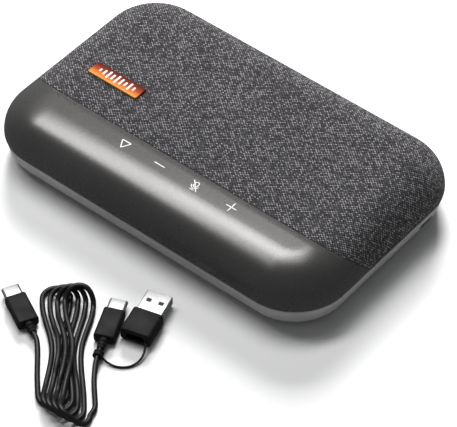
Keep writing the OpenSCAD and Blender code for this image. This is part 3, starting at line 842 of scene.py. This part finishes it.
def hank_plan():
    """The folded turns in plan: round a lower fold, up the right, over the top and down the left."""
    points = []
    for k in range(LOOPS):
        low_x, low_y = LOWER_FOLDS[k]
        next_x, next_y = LOWER_FOLDS[k + 1]
        middle, end = UPPER_FOLDS[k]
        waist = WAIST_LEFT + k * WAIST_PITCH
        up_from, up_to = Vector((low_x + 2 * FOLD_R, low_y + FOLD_R)), Vector((middle + FOLD_R, end - FOLD_R))
        down_from, down_to = Vector((middle - FOLD_R, end - FOLD_R)), Vector((next_x, next_y + FOLD_R))
        points += fold(low_x + FOLD_R, low_y + FOLD_R, 180, 360)
        points += strand(up_from, up_to, waist + WAIST_GAP)
        points += fold(middle, end - FOLD_R, 0, 180)
        points += list(reversed(strand(down_to, down_from, waist)))
    points += fold(LOWER_FOLDS[-1][0] + FOLD_R, LOWER_FOLDS[-1][1] + FOLD_R, 180, 360)
    return [Vector((p.x, p.y, CORD_D / 2)) for p in points]


def even_steps(points, step):
    """The same line cut into equal steps."""
    runs = [0.0]
    for a, b in zip(points, points[1:]):
        runs.append(runs[-1] + (b - a).length)
    count = round(runs[-1] / step)
    made, k = [], 0
    for i in range(count + 1):
        at = runs[-1] * i / count
        while k < len(runs) - 2 and runs[k + 1] < at:
            k += 1
        made.append(points[k].lerp(points[k + 1], (at - runs[k]) / (runs[k + 1] - runs[k])))
    return made


# How the cord climbs over itself: half length and softness of a hump, the stretch of cord next to a point
# that can't lie under it (in diameters), and how often the humps are settled
HUMP_REACH, HUMP_SOFTNESS = 3.4, 0.75
OWN_STRETCH = 1.7
SETTLE_PASSES = 8
CORD_STEP = 0.9


def lay_over_itself(points):
    """Raises every later part of the cord over the earlier parts that it crosses, in long low humps."""
    line = numpy.array([tuple(p) for p in points])
    rest = line[:, 2].copy()
    level = rest.copy()
    skip = int(OWN_STRETCH * CORD_D / CORD_STEP)
    reach = int(HUMP_REACH / CORD_STEP)
    margin = 3 * reach
    bell = numpy.exp(-0.5 * (numpy.arange(-margin, margin + 1) / (HUMP_SOFTNESS * reach)) ** 2)
    bell /= bell.sum()
    for _ in range(SETTLE_PASSES):
        need = rest.copy()
        for i in range(skip + 1, len(line)):
            gap = ((line[:i - skip, :2] - line[i, :2]) ** 2).sum(axis=1)
            near = gap < CORD_D ** 2
            if near.any():
                over = level[:i - skip][near] + numpy.sqrt(CORD_D ** 2 - gap[near])
                need[i] = max(need[i], over.max())
        wide = numpy.array([need[max(0, i - reach):i + reach + 1].max() for i in range(len(need))])
        level = numpy.convolve(numpy.pad(wide, margin, mode="edge"), bell, "valid")
    return [Vector((x, y, max(z, low))) for (x, y, z), low in zip(line, level)]


def smooth_path(points, per_span=6):
    """A Catmull-Rom line through the points."""
    points = [Vector(p) for p in points]
    padded_points = [2 * points[0] - points[1]] + points + [2 * points[-1] - points[-2]]
    line = []
    for a, b, c, d in zip(padded_points, padded_points[1:], padded_points[2:], padded_points[3:]):
        for step in range(per_span):
            t = step / per_span
            line.append(0.5 * ((2 * b) + (c - a) * t + (2 * a - 5 * b + 4 * c - d) * t * t
                               + (3 * b - a - 3 * c + d) * t ** 3))
    line.append(points[-1])
    return line


def add_curve(name, points, radius, material, body):
    data = bpy.data.curves.new(name, "CURVE")
    data.dimensions = "3D"
    data.bevel_depth = radius * MM
    data.bevel_resolution = 5
    data.use_fill_caps = True
    spline = data.splines.new("POLY")
    spline.points.add(len(points) - 1)
    for place, point in zip(spline.points, points):
        place.co = (*(point * MM), 1)
    spline.use_smooth = True
    data.materials.append(material)
    curve = bpy.data.objects.new(name, data)
    bpy.context.scene.collection.objects.link(curve)
    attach(curve, body)
    return curve


def build_cord():
    route = [Vector(p) for p in LEAD_A] + hank_plan() + [Vector(p) for p in LEAD_B]
    line = lay_over_itself(even_steps(smooth_path(route), CORD_STEP))
    points = [ON_TABLE @ p for p in line]
    cord = add_curve("usb_cord", points, CORD_D / 2, CORD_JACKET, "cable")
    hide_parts("cable_leads", "cable_hank")
    return cord, points


def build_plug(name, tail, turn):
    """A USB-C plug: moulded grip, ribbed relief, hollow plated shell with two contact rows."""
    at = lay_from(tail, turn)
    grip = rings_to_bmesh(prism_rings(GRIP_SIZE, 1.6, RELIEF_L, RELIEF_L + GRIP_L, 0.8, 0.4, 8))
    pieces = [make_piece(name + "_body", grip, PLUG_PLASTIC, "cable", [name + "_grip"],
                         matrix=at)]
    profile = [(0.0, 1.25), (0.0, 1.5), (1.1, 1.6), (1.3, 1.42), (1.7, 1.42), (1.9, 1.72), (2.9, 1.82),
               (3.1, 1.52), (3.5, 1.52), (3.7, 1.9), (4.7, 2.0), (RELIEF_L + 0.6, 2.0)]
    turns = [2 * math.pi * i / RELIEF_SIDES for i in range(RELIEF_SIDES)]
    relief = rings_to_bmesh([[(r * RELIEF_OVAL * math.cos(a), r * math.sin(a), z) for a in turns]
                             for z, r in profile])
    pieces.append(make_piece(name + "_relief", relief, PLUG_PLASTIC, "cable", matrix=at))
    base = RELIEF_L + GRIP_L
    outer = prism_rings(USB_C_SHELL, 1.27, base - 0.5, base + USB_C_REACH, 0.02, 0.22, 8)
    inner = [stadium_ring(USB_C_HOLE, 0.92, 0, z, 8) for z in (base + 6.6, base + 1.2)]
    shell = rings_to_bmesh(outer + inner)
    pieces.append(make_piece(name + "_shell_tube", shell, STEEL, "cable", [name + "_shell"],
                             matrix=at))
    for row, y in (("lower", -0.72), ("upper", 0.72)):
        bar = rings_to_bmesh(prism_rings((5.6, 0.28), 0.12, base + 1.3, base + 6.1, 0.05))
        pieces.append(make_piece(f"{name}_contacts_{row}", bar, CONTACT_GOLD, "cable",
                                 matrix=at @ Matrix.Translation((0, y, 0))))
    return pieces


def build_adapter():
    """The USB-A adapter: block with a socket hole, shell with two thin black sheets on top as painted shade
    for its two holes, and tongue.
    """
    at = lay_from(ADAPTER_TAIL, ADAPTER_TURN)
    base = ADAPTER_SIZE[2]
    block = rings_to_bmesh(prism_rings(ADAPTER_SIZE[:2], 1.9, 0, ADAPTER_SIZE[2], 0.8, 0.35, 8))
    body = make_piece("adapter_block", block, PLUG_PLASTIC, "cable", ["adapter_body"],
                      matrix=at)
    hole = cutter("adapter_hole", rings_to_bmesh(prism_rings(SOCKET_HOLE, 1.5, -1, 8, 0.02)), at)
    subtract(body, [hole])
    round_edges(body, 0.15, 2, 55)
    apply_modifiers(body)
    outer = prism_rings(USB_A_SHELL, 0.55, base - 0.4, base + USB_A_REACH, 0.02, 0.12, 6)
    inner = [stadium_ring(USB_A_HOLE, 0.3, 0, z, 6) for z in (base + 11.95, base + 0.6)]
    shell = make_piece("adapter_shell_tube", rings_to_bmesh(outer + inner), STEEL, "cable",
                       ["adapter_shell"], matrix=at)
    # Painted shade: thin black sheets on the shell stand in for its two holes, which are not cut
    painted_hole_shades = [make_piece(f"adapter_painted_hole_shade_{side}",
                          rings_to_bmesh(prism_rings((2.3, 2.0), 0.2, 0, 0.06, 0.01)),
                          BLACK_PLASTIC, "cable",
                          matrix=at @ Matrix.Translation((x, -USB_A_SHELL[1] / 2, base + 6.6)) @ ALONG_Y)
               for side, x in (("left", -2.9), ("right", 2.9))]
    bar = rings_to_bmesh(prism_rings((10.8, 1.7), 0.3, base + 0.7, base + 11.3, 0.1))
    tongue = make_piece("adapter_tongue_bar", bar, INSIDE["tongue_white"], "cable",
                        ["adapter_tongue"], matrix=at @ Matrix.Translation((0, 0.9, 0)))
    return [body, shell, tongue] + painted_hole_shades


def build_strap():
    strap = add_curve("keeper_strap", [ON_TABLE @ p for p in smooth_path(STRAP)], 0.5, PLUG_PLASTIC, "cable")
    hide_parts("adapter_strap")
    profile = [(1.3, 0.0), (2.05, 0.0), (2.3, 0.3), (2.3, 0.9), (2.0, 1.15), (2.0, 1.85), (2.3, 2.1),
               (2.3, 2.7), (2.05, 3.0), (1.3, 3.0)]
    bm = bmesh.new()
    count = 32
    rows = [[bm.verts.new((r * math.cos(2 * math.pi * i / count), r * math.sin(2 * math.pi * i / count), z))
             for i in range(count)] for r, z in profile]
    for lower, upper in zip(rows, rows[1:] + rows[:1]):
        for i in range(count):
            j = (i + 1) % count
            bm.faces.new((lower[i], lower[j], upper[j], upper[i]))
    ring = make_piece("keeper_ring", bm, PLUG_PLASTIC, "cable", ["strap_ring"],
                      matrix=lay_from(RING_AT, PLUGS["plug_b"][1]))
    return [strap, ring]


cord, cord_points = build_cord()
cord_pieces = [piece for name, (tail, turn) in PLUGS.items() for piece in build_plug(name, tail, turn)]
cord_pieces += build_adapter() + build_strap()

finish_cad_nodes()
build_upper_shell()
build_fabric()
build_base_shell()
build_foot()
build_seam_gasket()
build_buttons()
build_icons()
build_badge()

# ---------------------------------------------------------------- floor and light


def build_stage():
    bm = bmesh.new()
    half = 4000.0
    corners = ((-half, -half), (half, -half), (half, half), (-half, half))
    bm.faces.new([bm.verts.new((x, y, 0)) for x, y in corners])
    mesh = bpy.data.meshes.new("floor")
    bm.to_mesh(mesh)
    bm.free()
    mesh.transform(Matrix.Scale(MM, 4))
    floor = bpy.data.objects.new("floor", mesh)
    surface = Surface("floor", (0.92, 0.92, 0.925), 0.7)
    cloud = surface.noise(0.004, 2.0)
    surface.set(Base_Color=surface.ramp(cloud, [(0.3, (0.915, 0.915, 0.92)), (0.7, (0.925, 0.925, 0.93))]))
    mesh.materials.append(surface.material)
    bpy.context.scene.collection.objects.link(floor)
    # Left out of reflections, so that the paint's lower edge stays as dark as in the photograph
    floor.visible_glossy = False


build_stage()
add_area("ridge_strip", (-0.43, 0.13, 0.893), 1.3, (1.05, 0.27), 10.0, turn=-0.10)
add_area("end_glow", (-0.225, 0.25, 0.93), 1.3, (0.5, 0.5), 2.6)
# The key light makes the long shadows. It is left out of reflections, so that the flat top stays dark
key = add_area("back_softbox", (-0.52, 0.70, 0.49), 1.5, (0.6, 0.5), 46.0)
key.visible_glossy = False

world = bpy.data.worlds.new("studio")
world.use_nodes = True
world.node_tree.nodes["Background"].inputs["Color"].default_value = (0.96, 0.98, 1.0, 1)
world.node_tree.nodes["Background"].inputs["Strength"].default_value = 0.11
bpy.context.scene.world = world
bpy.context.scene.view_settings.view_transform = "Standard"
